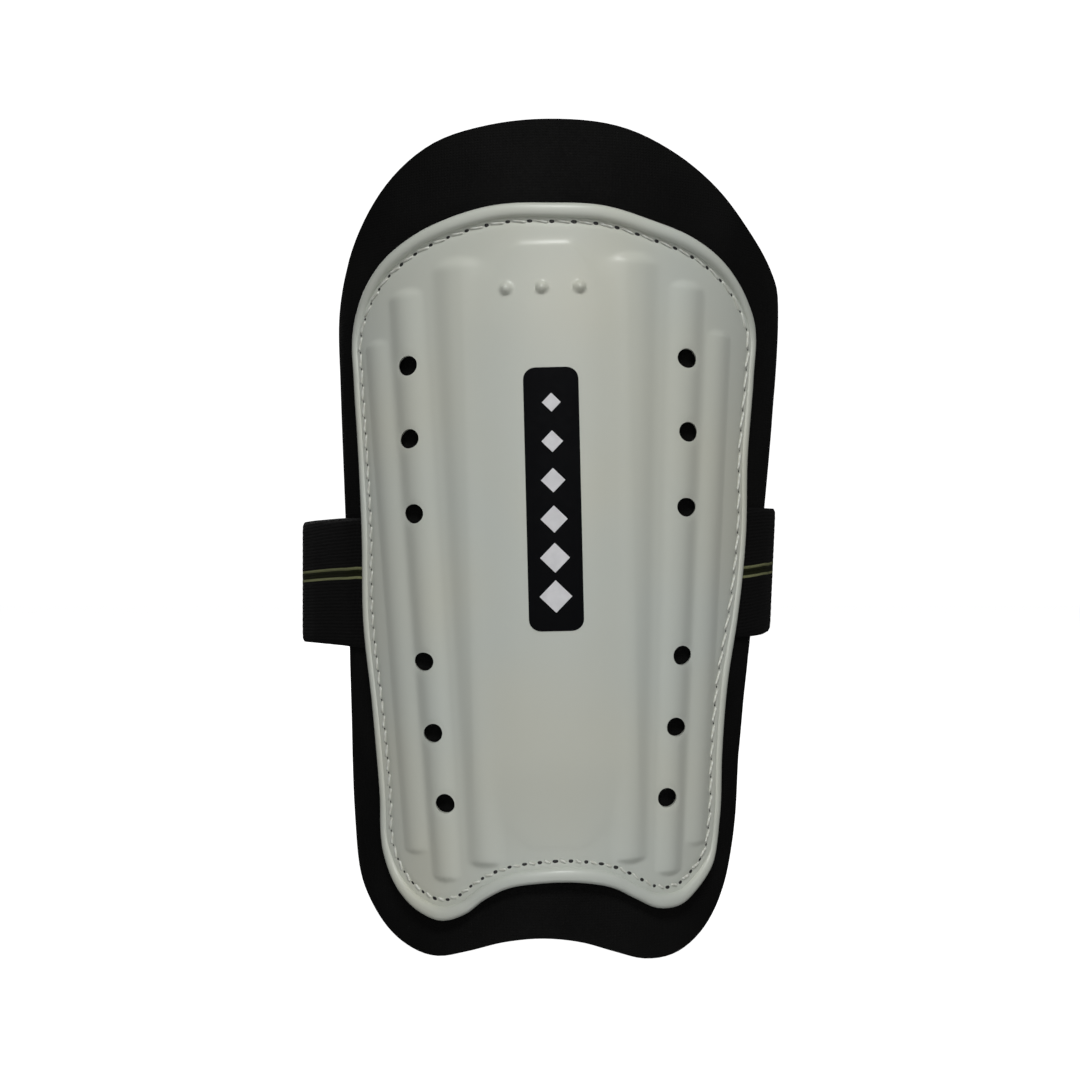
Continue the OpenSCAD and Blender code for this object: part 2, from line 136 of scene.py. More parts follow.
# Edge of the shell, clockwise from the top centre, and where its sides meet
SHELL_EDGE = [
    [0, 92.9], [14, 92.3], [27, 89.2], [40, 85.5], [52, 79.5], [61.7, 70.9], [67.2, 62],
    [66.7, 50], [64, 26], [64, 4], [60.4, -20], [55.9, -38], [53.6, -60], [52.9, -79], [50.2, -91],
    [44, -97.5], [37, -101.7], [30, -101.8], [23.5, -98.7], [16.5, -95], [8, -93.2], [-3, -93.4],
    [-12, -95.2], [-18.5, -98.7], [-24, -103], [-31, -105.6], [-39, -103.7], [-47.5, -97.5],
    [-53.2, -87.5], [-54.3, -72], [-57.1, -48], [-61.1, -22], [-61.2, 5], [-62.6, 28], [-64.1, 48],
    [-64.5, 60], [-60.2, 69.7], [-52.5, 78.2], [-40.3, 85.6], [-27, 90.2], [-14, 92.8]]
SHELL_CORNERS = (5, 14, 28, 36)
CURVE_STEPS = 6

# ---- curves and grids ----


def unit(v):
    return v / np.maximum(np.linalg.norm(v, axis=-1, keepdims=True), 1e-12)


def slope(a, b, c):
    before = np.linalg.norm(b - a, axis=-1, keepdims=True)
    after = np.linalg.norm(c - b, axis=-1, keepdims=True)
    return (b - a) / before - (c - a) / (before + after) + (c - b) / after


def spans(a, b, c, d, steps):
    """Points of the smooth curve from each b to its c, whose outer neighbours are a and d."""
    length = np.linalg.norm(c - b, axis=-1, keepdims=True)
    start, end = (length * slope(a, b, c))[:, None], (length * slope(b, c, d))[:, None]
    t = (np.arange(steps) / steps)[None, :, None]
    curve = ((2 * t**3 - 3 * t**2 + 1) * b[:, None] + (t**3 - 2 * t**2 + t) * start
             + (3 * t**2 - 2 * t**3) * c[:, None] + (t**3 - t**2) * end)
    return curve.reshape(-1, b.shape[-1])


def smooth_loop(points, steps=CURVE_STEPS):
    p = np.array(points, float)
    return spans(np.roll(p, 1, 0), p, np.roll(p, -1, 0), np.roll(p, -2, 0), steps)


def smooth_path(points, steps):
    p = np.array(points, float)
    ends = np.vstack([2 * p[0] - p[1], p, 2 * p[-1] - p[-2]])
    return np.vstack([spans(ends[:-3], ends[1:-2], ends[2:-1], ends[3:], steps), p[-1]])


def tangents(loop):
    return unit(np.roll(loop, -1, 0) - np.roll(loop, 1, 0))


def side_share(loop, side):
    """1 where a loop runs across, falling to side where it is upright, at each of its points."""
    return 1 - (1 - side) * tangents(loop)[:, 1:] ** 2


def inset(loop, distance, side=1.0):
    """A clockwise loop moved inwards by a distance, of which its upright parts take a share."""
    t = tangents(loop)
    return loop + distance * side_share(loop, side) * np.stack([t[:, 1], -t[:, 0]], 1)


def run_length(path):
    return np.concatenate([[0], np.cumsum(np.linalg.norm(np.diff(path, axis=0), axis=1))])


def spaced(path, at):
    """Points of an open path at running lengths."""
    run = run_length(path)
    return np.stack([np.interp(at, run, path[:, k]) for k in range(path.shape[1])], 1)


def even_loop(loop, pitch):
    closed = np.vstack([loop, loop[:1]])
    total = run_length(closed)[-1]
    count = round(total / pitch)
    return spaced(closed, np.arange(count) * total / count)


def even_path(path, pitch):
    total = run_length(path)[-1]
    return spaced(path, np.linspace(0, total, round(total / pitch) + 1))


def filled(edge, corners, cols, rows, steps=CURVE_STEPS):
    """Grid of flat points that fills a smooth loop, from its four sides."""
    loop = smooth_loop(edge, steps)
    twice = np.vstack([loop, loop, loop[:1]])
    run = run_length(twice)

    def side(first, last, count):
        first, last = first * steps, last * steps
        last += len(loop) if last < first else 0
        return spaced(twice, np.linspace(run[first], run[last], count + 1))

    a, b, c, d = corners
    right, left = side(a, b, rows)[::-1][:, None], side(c, d, rows)[:, None]
    bottom, top = side(b, c, cols)[::-1][None], side(d, a, cols)[None]
    u, v = np.linspace(0, 1, cols + 1)[None, :, None], np.linspace(0, 1, rows + 1)[:, None, None]
    return ((1 - v) * bottom + v * top + (1 - u) * left + u * right
            - (1 - v) * ((1 - u) * bottom[:, :1] + u * bottom[:, -1:])
            - v * ((1 - u) * top[:, :1] + u * top[:, -1:]))


def edge_distance(points, loop):
    """Distance from each flat point to a closed loop."""
    flat = points.reshape(-1, 2)
    best = np.full(len(flat), np.inf)
    for a, b in zip(loop, np.roll(loop, -1, 0)):
        t = np.clip((flat - a) @ (b - a) / ((b - a) @ (b - a)), 0, 1)
        best = np.minimum(best, np.linalg.norm(flat - a - t[:, None] * (b - a), axis=1))
    return best.reshape(points.shape[:-1])


def inside(points, loop):
    """True for the flat points inside a closed loop."""
    x, y = points[..., 0], points[..., 1]
    odd = np.zeros(x.shape, bool)
    for (ax, ay), (bx, by) in zip(loop, np.roll(loop, -1, 0)):
        crosses = (ay > y) != (by > y)
        odd ^= crosses & (x < (bx - ax) * (y - ay) / (by - ay + 1e-12) + ax)
    return odd


def ramp(x):
    t = np.clip(x, 0, 1)
    return t * t * (3 - 2 * t)


def wrap(flat, rise=0.0):
    """Flat points, raised above the backing's front face, as points in the frame, in metres."""
    flat = np.asarray(flat, float)
    base = WRAP_RADIUS + WRAP_TAPER * flat[..., 1]
    angle = flat[..., 0] / base
    out = base + rise
    return np.stack([out * np.sin(angle), -out * np.cos(angle), flat[..., 1]], -1) * MM


def radial(flat):
    angle = flat[..., 0] / (WRAP_RADIUS + WRAP_TAPER * flat[..., 1])
    return np.stack([np.sin(angle), -np.cos(angle), 0 * angle], -1)


def turned(flat, turn):
    u, z = flat[..., 0], flat[..., 1]
    cos, sin = math.cos(turn), math.sin(turn)
    return np.stack([u * cos - z * sin, u * sin + z * cos], -1)


def tilted(flat):
    """Flat points from the moulded pattern's own axes."""
    return turned(np.asarray(flat, float), SHELL_TILT) + [PATTERN_SHIFT, 0]


def untilted(flat):
    return turned(np.asarray(flat, float) - [PATTERN_SHIFT, 0], -SHELL_TILT)


# ---- meshes ----


def add_object(name, data):
    obj = bpy.data.objects.new(name, data)
    bpy.context.scene.collection.objects.link(obj)
    return obj


def face_outwards(mesh):
    whole = bmesh.new()
    whole.from_mesh(mesh)
    bmesh.ops.recalc_face_normals(whole, faces=whole.faces)
    whole.to_mesh(mesh)
    whole.free()


def piece(name, points, faces, body, material, values=None, sharp=35):
    """A mesh that rides on a body, with the surface values that its material reads."""
    mesh = bpy.data.meshes.new(name)
    mesh.from_pydata(np.asarray(points).reshape(-1, 3).tolist(), [], faces)
    for key, numbers in (values or {}).items():
        layer = mesh.attributes.new(key, "FLOAT", "POINT")
        layer.data.foreach_set("value", np.asarray(numbers, np.float32).ravel())
    face_outwards(mesh)
    mesh.shade_smooth()
    mesh.set_sharp_from_angle(angle=math.radians(sharp))
    obj = add_object(name, mesh)
    obj.data.materials.append(material)
    if body:
        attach(obj, body)
    return obj


def grid_faces(rows, cols, start=0):
    j, i = np.meshgrid(np.arange(rows), np.arange(cols), indexing="ij")
    a = (start + j * (cols + 1) + i).ravel()
    return np.stack([a, a + 1, a + cols + 2, a + cols + 1], 1).tolist()


def rim_ids(rows, cols):
    """Indexes of a grid's border, all the way round."""
    ids = np.arange((rows + 1) * (cols + 1)).reshape(rows + 1, cols + 1)
    return np.concatenate([ids[0, :-1], ids[:-1, -1], ids[-1, :0:-1], ids[:0:-1, 0]])


def slab(high, low, bulge=0.0, rings=1):
    """Points and faces of a body between two grids of points, whose sides stand out by bulge."""
    rows, cols = high.shape[0] - 1, high.shape[1] - 1
    count = (rows + 1) * (cols + 1)
    rim = rim_ids(rows, cols)
    top, bottom = high.reshape(-1, 3), low.reshape(-1, 3)
    away = unit(np.roll(top[rim], 1, 0) - np.roll(top[rim], -1, 0))
    away = np.cross(away, unit(top[rim] - bottom[rim]))
    centre = top.mean(0)
    if np.sum((top[rim] - centre) * away) < 0:
        away = -away
    sides = []
    for k in range(1, rings + 1):
        t = k / (rings + 1)
        sides.append(top[rim] * (1 - t) + bottom[rim] * t + away * bulge * MM * math.sin(math.pi * t))
    points = np.vstack([top, bottom, *sides])
    faces = grid_faces(rows, cols) + [f[::-1] for f in grid_faces(rows, cols, count)]
    n = len(rim)
    levels = [rim] + [2 * count + k * n + np.arange(n) for k in range(rings)] + [count + rim]
    for a, b in zip(levels, levels[1:]):
        faces += np.stack([a, np.roll(a, -1), np.roll(b, -1), b], 1).tolist()
    return points, faces


def slab_values(grid, rings=1):
    """Values of a grid's points, for all the points of a slab made over it."""
    flat = grid.ravel()
    rim = rim_ids(grid.shape[0] - 1, grid.shape[1] - 1)
    return np.concatenate([flat, flat, np.tile(flat[rim], rings)])


def tube(paths, ups, radii, sides=8):
    """Points and faces of round threads along paths that all have as many points."""
    paths = np.asarray(paths, float)
    n, k = paths.shape[:2]
    run = unit(np.gradient(paths, axis=1))
    across = unit(np.cross(run, np.broadcast_to(ups, paths.shape)))
    up = np.cross(across, run)
    a = np.arange(sides) * 2 * math.pi / sides
    ring = across[:, :, None] * np.cos(a)[:, None] + up[:, :, None] * np.sin(a)[:, None]
    radii = np.broadcast_to(np.asarray(radii, float), (n, k))
    points = (paths[:, :, None] + ring * radii[:, :, None, None]).reshape(-1, 3)
    one = []
    for j in range(k - 1):
        for s in range(sides):
            one.append([j * sides + s, j * sides + (s + 1) % sides,
                        (j + 1) * sides + (s + 1) % sides, (j + 1) * sides + s])
    caps = [list(range(sides))[::-1], [(k - 1) * sides + s for s in range(sides)]]
    faces = []
    for m in range(n):
        start = m * k * sides
        faces += [[start + v for v in f] for f in one + caps]
    return points, faces


def stitches(starts, ends, ups, radius, arch):
    """Threads that come up at each start, lie on the surface and go down at each end."""
    t = np.linspace(0, 1, 9)[None, :, None]
    lift = (np.minimum(1, np.minimum(t, 1 - t) * 6) - 1) * 1.5 + 1
    paths = starts[:, None] * (1 - t) + ends[:, None] * t + ups[:, None] * lift * arch
    ends_thin = 0.55 + 0.45 * np.minimum(1, np.minimum(t, 1 - t) * 8)[0, :, 0]
    return tube(paths, ups[:, None], radius * ends_thin[None])


# ---- materials ----


class Surface:
    """A material with its node tree and short ways to add nodes to it."""

    def __init__(self, name, **sockets):
        self.material = bpy.data.materials.new(name)
        self.material.use_nodes = True
        self.tree = self.material.node_tree
        self.shader = self.tree.nodes["Principled BSDF"]
        for key, value in sockets.items():
            self.shader.inputs[key.replace("_", " ")].default_value = value
        self.where = self.node("ShaderNodeTexCoord").outputs["Object"]

    def feed(self, socket, value):
        if isinstance(value, bpy.types.NodeSocket):
            self.tree.links.new(value, socket)
        else:
            socket.default_value = value

    def node(self, kind, inputs=(), **settings):
        made = self.tree.nodes.new(kind)
        for key, value in settings.items():
            setattr(made, key, value)
        for key, value in dict(inputs).items():
            self.feed(made.inputs[key], value)
        return made

    def value(self, name):
        return self.node("ShaderNodeAttribute", attribute_name=name).outputs["Fac"]

    def noise(self, scale, detail=2.0, rough=0.5, where=None):
        made = self.node("ShaderNodeTexNoise", {"Vector": where or self.where, "Scale": scale,
                                                "Detail": detail, "Roughness": rough})
        return made.outputs["Fac"]

    def math(self, operation, a, b=0.0, c=0.0):
        made = self.node("ShaderNodeMath", operation=operation)
        for socket, value in zip(made.inputs, (a, b, c)):
            self.feed(socket, value)
        return made.outputs[0]

    def spread(self, value, low, high, to_low=0.0, to_high=1.0):
        made = self.node("ShaderNodeMapRange", {"Value": value, "From Min": low, "From Max": high,
                                                "To Min": to_low, "To Max": to_high})
        return made.outputs["Result"]

    def ripple(self, value, pitch):
        """Rounded ridges along a length in millimetres, from 0 to 1."""
        wave = self.math("SINE", self.math("MULTIPLY", value, 2 * math.pi / pitch))
        return self.math("MULTIPLY_ADD", wave, 0.5, 0.5)

    def mix(self, amount, a, b):
        made = self.node("ShaderNodeMix", data_type="RGBA")
        for index, value in ((0, amount), (6, a), (7, b)):
            self.feed(made.inputs[index], value)
        return made.outputs[2]

    def set(self, socket, value):
        self.tree.links.new(value, self.shader.inputs[socket])

    def bump(self, height, depth, strength=1.0):
        """Bump of a 0 to 1 height, in millimetres."""
        made = self.node("ShaderNodeBump", {"Height": height, "Distance": depth * MM,
                                            "Strength": strength})
        self.set("Normal", made.outputs["Normal"])


def shade(level, tint=(1, 1, 1)):
    return (level * tint[0], level * tint[1], level * tint[2], 1)


def shell_material():
    s = Surface("shell_plastic", Roughness=0.34, IOR=1.5)
    warm, cool = (0.655, 0.665, 0.575, 1), (0.63, 0.665, 0.61, 1)
    base = s.mix(s.spread(s.noise(22, 1), 0.3, 0.7), cool, warm)
    dust = s.spread(s.noise(2600, 3, 0.6), 0.62, 0.8)
    s.set("Base Color", s.mix(s.math("MULTIPLY", dust, 0.1), base, (0.5, 0.5, 0.43, 1)))
    s.set("Roughness", s.spread(s.noise(90, 3), 0.3, 0.7, 0.29, 0.38))
    peel = s.noise(420, 2)
    slow = s.noise(70, 1)
    s.bump(s.math("MULTIPLY_ADD", slow, 0.7, peel), 0.03, 0.5)
    return s.material


def facing_material(name, level, tint):
    s = Surface(name, Roughness=0.8, IOR=1.4, Specular_IOR_Level=0.1)
    across, up = s.value("across"), s.value("up")
    knit = s.math("MULTIPLY", s.ripple(across, 0.9), s.ripple(up, 0.75))
    cloud = s.noise(45, 3)
    # painted glints: sparse light specks in the base colour stand in for glints of the overhead light on
    # the knit
    painted_glint = s.spread(s.noise(1500, 2, 0.7), 0.66, 0.8)
    base = s.mix(s.spread(cloud, 0.35, 0.7), shade(level * 0.8, tint), shade(level * 1.2, tint))
    s.set("Base Color", s.mix(s.math("MULTIPLY", painted_glint, 0.5), base, shade(level * 4, tint)))
    grain = s.noise(900, 3, 0.65)
    s.set("Roughness", s.spread(grain, 0.3, 0.7, 0.68, 0.88))
    s.bump(s.math("ADD", s.math("MULTIPLY", knit, 0.6), s.math("MULTIPLY", grain, 0.9)), 0.16, 0.8)
    return s.material


def foam_material():
    s = Surface("foam", Roughness=0.85, IOR=1.4)
    cells = s.node("ShaderNodeTexVoronoi", {"Vector": s.where, "Scale": 1600}).outputs["Distance"]
    s.set("Base Color", s.mix(s.spread(cells, 0.1, 0.6), shade(0.009), shade(0.026)))
    s.bump(cells, 0.25, 0.9)
    return s.material


def elastic_material():
    s = Surface("elastic", Roughness=0.72, IOR=1.4, Specular_IOR_Level=0.12)
    along, across = s.value("along"), s.value("across")
    cord = s.ripple(across, 1.0)
    pick = s.ripple(s.math("ADD", along, s.math("MULTIPLY", cord, 0.25)), 0.8)
    weave = s.math("MULTIPLY_ADD", pick, 0.55, s.math("MULTIPLY", cord, 0.6))
    dark = s.mix(weave, shade(0.003), shade(0.0075))
    line = 0.0
    for centre in (3.2, 0.5):
        far = s.math("ABSOLUTE", s.math("SUBTRACT", across, centre))
        line = s.math("ADD", line, s.spread(far, 0.25, 0.5, 1, 0))
    broken = s.math("MULTIPLY", line, s.spread(pick, 0.0, 0.8, 0.45, 1))
    between = s.math("ABSOLUTE", s.math("SUBTRACT", across, 1.85))
    green = s.mix(s.spread(between, 1.2, 1.7, 0.55, 0), dark, (0.02, 0.024, 0.004, 1))
    s.set("Base Color", s.mix(broken, green, (0.36, 0.38, 0.19, 1)))
    fuzz = s.noise(2200, 2, 0.6)
    s.bump(s.math("MULTIPLY_ADD", fuzz, 0.25, weave), 0.22, 0.9)
    return s.material


def thread_material(name, low, high):
    s = Surface(name, Roughness=0.6, IOR=1.45, Sheen_Weight=0.2, Sheen_Roughness=0.4)
    twist = s.node("ShaderNodeTexWave", {"Vector": s.where, "Scale": 260, "Distortion": 0.4},
                   bands_direction="DIAGONAL").outputs["Fac"]
    s.set("Base Color", s.mix(twist, low, high))
    s.bump(twist, 0.08, 0.7)
    return s.material


def ink_material(name, level, tint=(1, 1, 1)):
    s = Surface(name, Roughness=0.4, IOR=1.5, Specular_IOR_Level=0.06)
    s.set("Base Color", s.mix(s.noise(300, 2), shade(level * 0.85, tint), shade(level * 1.15, tint)))
    s.set("Roughness", s.spread(s.noise(500, 2), 0.3, 0.7, 0.36, 0.5))
    s.bump(s.noise(900, 2), 0.02, 0.5)
    return s.material


def pile_material(name, level):
    s = Surface(name, Roughness=0.85, IOR=1.4, Sheen_Weight=0.4, Sheen_Roughness=0.5)
    fuzz = s.noise(1800, 4, 0.75)
    s.set("Base Color", s.mix(s.spread(fuzz, 0.35, 0.7), shade(level * 0.6), shade(level * 1.6)))
    s.bump(fuzz, 0.5, 1.0)
    return s.material


def tape_material():
    s = Surface("tab_webbing", Roughness=0.65, IOR=1.4, Sheen_Weight=0.15, Sheen_Roughness=0.4)
    along, across = s.value("along"), s.value("across")
    weave = s.math("MULTIPLY", s.ripple(along, 1.1), s.ripple(s.math("ADD", across, along), 1.3))
    s.set("Base Color", s.mix(weave, shade(0.006), shade(0.014)))
    s.bump(weave, 0.25, 0.9)
    return s.material


def moulded_material(name, level):
    s = Surface(name, Roughness=0.45, IOR=1.5)
    s.set("Base Color", s.mix(s.noise(400, 2), shade(level * 0.8), shade(level * 1.3)))
    s.bump(s.noise(1200, 2), 0.05, 0.6)
    return s.material


# ---- backing ----

shell_loop = smooth_loop(SHELL_EDGE)
seam_inset = np.interp(shell_loop[:, 1:], [-60, 60], [STITCH_BOTTOM, STITCH_TOP])
seam_loop = inset(shell_loop, seam_inset, STITCH_SIDE)
backing_grid = filled(BACKING_EDGE, BACKING_CORNERS, 60, 84)


def surface_normals(grid, outward):
    along = np.gradient(grid, axis=0)
    across = np.gradient(grid, axis=1)
    n = unit(np.cross(across, along))
    return n if np.sum(n * outward) > 0 else -n


def inflated(points, faces, held, cap):
    """Cloth under pressure, with some points held, as new points that moved by less than cap."""
    mesh = bpy.data.meshes.new("swelling")
    mesh.from_pydata(points.tolist(), [], faces)
    obj = add_object("swelling", mesh)
    group = obj.vertex_groups.new(name="held")
    group.add(np.flatnonzero(held).tolist(), 1.0, "REPLACE")
    cloth = obj.modifiers.new("cloth", "CLOTH")
    cloth.settings.vertex_group_mass = "held"
    cloth.settings.use_pressure = True
    cloth.settings.uniform_pressure_force = 4
    cloth.settings.effector_weights.gravity = 0
    cloth.settings.quality = 5
    cloth.collision_settings.use_collision = False
    cloth.point_cache.frame_start, cloth.point_cache.frame_end = 1, SWELL_FRAMES
    for step in range(1, SWELL_FRAMES + 1):
        bpy.context.scene.frame_set(step)
    final = obj.evaluated_get(bpy.context.evaluated_depsgraph_get()).to_mesh()
    moved = np.empty(len(final.vertices) * 3)
    final.vertices.foreach_get("co", moved)
    bpy.context.scene.frame_set(1)
    bpy.data.objects.remove(obj)
    bpy.data.meshes.remove(mesh)
    shift = moved.reshape(-1, 3) - points
    size = np.linalg.norm(shift, axis=1, keepdims=True)
    limit = cap[:, None] * MM
    return points + shift * limit / (limit + size)


def backing():
    """Foam core between a facing and a lining; all three follow the foam as it swells."""
    under_shell = inside(backing_grid, shell_loop)
    from_shell = edge_distance(backing_grid, shell_loop) * np.where(under_shell, 1, -1)
    front, back = wrap(backing_grid, FOAM_FRONT), wrap(backing_grid, FOAM_BACK)
    points, faces = slab(front, back, 0.5, 3)
    u, z = backing_grid[..., 0], backing_grid[..., 1]
    count = u.size
    under_strap = (np.abs(z + 11) < STRAP_WIDTH / 2 + 2) & (np.abs(u) > 45)
    held_front = ((from_shell > -1.5) | under_strap).ravel()
    held_back = (edge_distance(backing_grid, seam_loop) < 1.3).ravel()
    held = np.concatenate([held_front, held_back, np.zeros(len(points) - 2 * count, bool)])
    cap = np.full(len(points), FACE_SWELL)
    cap[2 * count:] = EDGE_SWELL
    points = inflated(points, faces, held, cap)
    foam = piece("foam_pad", points, faces, "pad", foam_material())
    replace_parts(foam, "foam_core")
    out = radial(backing_grid)
    front = points[:count].reshape(front.shape)
    back = points[count:2 * count].reshape(back.shape)
    for name, base, side, thick, node, slot, material, flat in (
            ("facing_cloth", front, out, FACING_THICK, "facing_fabric", "facing",
             facing_material("facing", 0.0058, (1, 1, 0.97)), 1.0),
            ("lining_cloth", back, -out, LINING_THICK, "lining_fabric", "lining",
             facing_material("lining", 0.011, (1, 1, 1)), 0.92)):
        normals = surface_normals(base, side)
        skin_points, skin_faces = slab(base + normals * thick * MM, base, 0.3, 2)
        values = {"across": slab_values(u, 2), "up": slab_values(z, 2)}
        skin = piece(name, skin_points, skin_faces, "pad", material, values)
        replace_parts(skin, node)


# ---- shell ----


def rounded_max(a, b, soft):
    """The larger of two heights, with a fillet where they cross."""
    return 0.5 * (a + b + np.sqrt((a - b) ** 2 + soft**2) - soft)


def relief(flat):
    """Height of the moulded panel and ribs above the shell's flange."""
    p = untilted(flat)
    across, up = np.abs(p[..., 0]), p[..., 1]
    end = np.minimum(PANEL_TOP - up, up - PANEL_BOTTOM)
    foot = up < 0
    width = np.where(foot, FOOT_STEP, 1) * PANEL_STEP + STEP_SPREAD * ramp((across - STEP_FLAT) / STEP_FADE)
    t = np.clip(end / width, 0, 1)
    step = t**3 * (10 - 15 * t + 6 * t**2)
    by_step = np.where(foot, FOOT_SHARE, TOP_SHARE)
    side = ramp((PANEL_HALF - across) / PANEL_STEP)
    high = (PANEL_RISE - SHELL_WALL) * side * (by_step * step + (1 - by_step) * ramp(end / PANEL_RUN))
    mirrored = np.stack([across, up], -1)
    for top, bottom, half, share in RIBS:
        a, b = np.array(top, float), np.array(bottom, float)
        length = np.linalg.norm(b - a)
        down = (mirrored - a) @ ((b - a) / length)
        out = (mirrored - a) @ (np.array([a[1] - b[1], b[0] - a[0]]) / length)
        over = RIB_END * (np.maximum(down - length, 0) + np.maximum(-down, 0))
        reach = half[0] + (half[1] - half[0]) * np.clip(down / length, 0, 1)
        d = np.minimum(np.hypot(over, out) / reach, 1)
        rib = share * (RIB_RISE - SHELL_WALL) * (1 - d**2) ** 1.25
        high = rounded_max(high, rib, CREASE)
    return high


def shell_height(flat):
    """Height of the shell's outer face above the backing."""
    high = SHELL_WALL + relief(flat)
    high -= SEAM_CHANNEL[0] * np.exp(-(edge_distance(flat, seam_loop) / SEAM_CHANNEL[1]) ** 2)
    for across in PIPS:
        d = np.linalg.norm(flat - tilted([across, PIP_HEIGHT]), axis=-1) / PIP_RADIUS
        high += PIP_RISE * (1 - np.minimum(d, 1) ** 2) ** 0.9
    for side in (-1, 1):
        for across, up in VENTS:
            d = np.linalg.norm(flat - tilted([side * across, up]), axis=-1)
            high -= VENT_DISH[0] * np.exp(-(np.maximum(d - VENT_RADIUS, 0) / VENT_DISH[1]) ** 2)
    return high


def vent_cutter():
    """Slightly uneven punches through the shell, from the front, as one mesh."""
    sides, reach = 40, 8
    k = np.arange(sides)
    turn = k * 2 * math.pi / sides
    points, faces = [], []
    for side in (-1, 1):
        for across, up in VENTS:
            spot = wrap(tilted([side * across, up]), SHELL_WALL)
            oval = 0.025 * np.cos(2 * turn + rng.uniform(0, 6))
            lobed = 0.015 * np.cos(3 * turn + rng.uniform(0, 6))
            radius = 1 + oval + lobed
            ring = np.stack([np.cos(turn) * radius, 0 * turn, np.sin(turn) * radius], 1)
            start = len(points)
            for depth in (reach, -reach):
                points += (spot + (ring * VENT_RADIUS + [0, depth, 0]) * MM).tolist()
            a, b = start + k, start + (k + 1) % sides
            faces += np.stack([a, b, b + sides, a + sides], 1).tolist()
            faces += [a.tolist(), (a + sides).tolist()]
    mesh = bpy.data.meshes.new("punches")
    mesh.from_pydata(points, [], faces)
    face_outwards(mesh)
    return add_object("punches", mesh)


def shell(material):
    """The moulded sheet, with its vents cut through."""
    edge = inset(np.array(SHELL_EDGE, float), RIM_RADIUS, RIM_SIDE)
    grid = filled(edge, SHELL_CORNERS, 230, 340)
    high = shell_height(grid)
    points, faces = slab(wrap(grid, high), wrap(grid, high - SHELL_WALL + 0.05))
    obj = piece("shell_moulding", points, faces, None, material)
    cutter = vent_cutter()
    cut = obj.modifiers.new("vents", "BOOLEAN")
    cut.operation, cut.object, cut.solver = "DIFFERENCE", cutter, "EXACT"
    bpy.context.view_layer.update()
    done = bpy.data.meshes.new_from_object(obj.evaluated_get(bpy.context.evaluated_depsgraph_get()))
    obj.modifiers.clear()
    obj.data = done
    bpy.data.objects.remove(cutter)
    done.shade_smooth()
    done.set_sharp_from_angle(angle=math.radians(40))
    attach(obj, "pad")
    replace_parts(obj, "shell")


def shell_rim(material):
    """The sheet's edge, rolled into a bead that is a little flat on top."""
    path = even_loop(inset(shell_loop, RIM_RADIUS, RIM_SIDE), 1.5)
    n, sides = len(path), 20
    radii = RIM_RADIUS * side_share(path, RIM_SIDE)[:, 0]
    spine = wrap(path, radii)
    out = radial(path)
    run = unit(np.roll(spine, -1, 0) - np.roll(spine, 1, 0))
    side = unit(np.cross(run, out))
    a = np.arange(sides) * 2 * math.pi / sides
    phase = 2 * math.pi * np.arange(n) / n
    wobble = 1 + 0.03 * np.sin(7 * phase) + 0.02 * np.sin(17 * phase)
    upper, inner = (np.sign(v) * np.abs(v) ** 0.85 for v in (np.cos(a), np.sin(a)))
    ring = out[:, None] * upper[:, None] + side[:, None] * inner[:, None] * 1.06
    points = spine[:, None] + ring * (radii * MM * wobble)[:, None, None]
    i, k = np.meshgrid(np.arange(n), np.arange(sides), indexing="ij")
    j, m = (i + 1) % n, (k + 1) % sides
    faces = np.stack([i * sides + k, i * sides + m, j * sides + m, j * sides + k], -1)
    obj = piece("rim_bead", points, faces.reshape(-1, 4).tolist(), "pad", material, sharp=60)
    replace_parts(obj, "shell_rim")


def seam_holes():
    """Needle holes round the shell: closer at the bottom and left than at the top and right."""
    closed = np.vstack([seam_loop, seam_loop[:1]])
    run = run_length(closed)
    lean = closed[:, 0] / 60 * 0.5 + closed[:, 1] / 90 * 0.6
    pitch = np.interp(np.clip(lean, -0.5, 0.5), [-0.5, 0.5], [PITCH_LOW_LEFT, PITCH_UP_RIGHT])
    steps = np.concatenate([[0], np.cumsum(np.diff(run) / pitch[:-1])])
    count = round(steps[-1])
    at = np.interp(np.arange(count) * steps[-1] / count, steps, run)
    return spaced(closed, at)


def seam():
    """Lockstitch that sews the shell down: threads on the shell, holes, and threads on the lining."""
    holes = seam_holes()
    nxt = np.roll(holes, -1, 0)
    run = unit(nxt - holes)
    side = np.stack([run[:, 1], -run[:, 0]], 1)
    upright = run[:, 1:] ** 2
    slant = (0.28 + 0.3 * upright) * rng.normal(1, 0.15, (len(holes), 1)) * side
    gap = (np.where(holes[:, 1:] < 0, 1.3, 0.95) * (1 - upright) + 0.45 * upright) * run
    start, end = holes + gap - slant, nxt - gap + slant
    middle = (start + end) / 2
    level = shell_height(middle)
    ups = radial(middle)
    thread = thread_material("shell_thread", (0.62, 0.63, 0.56, 1), (0.76, 0.78, 0.72, 1))
    points, faces = stitches(wrap(start, level), wrap(end, level), ups, THREAD_RADIUS * MM, 0.14 * MM)
    obj = piece("seam_thread_front", points, faces, "pad", thread, sharp=80)
    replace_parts(obj, "shell_stitching")
    hole_points, hole_faces = pits(holes, run)
    piece("seam_needle_holes", hole_points, hole_faces, "pad",
          moulded_material("needle_hole", 0.02), sharp=80)
    inner = LINING_BACK - 0.15
    points, faces = stitches(wrap(start, inner), wrap(end, inner), -ups, THREAD_RADIUS * MM, 0.3 * MM)
    piece("seam_thread_back", points, faces, "pad", thread, sharp=80)


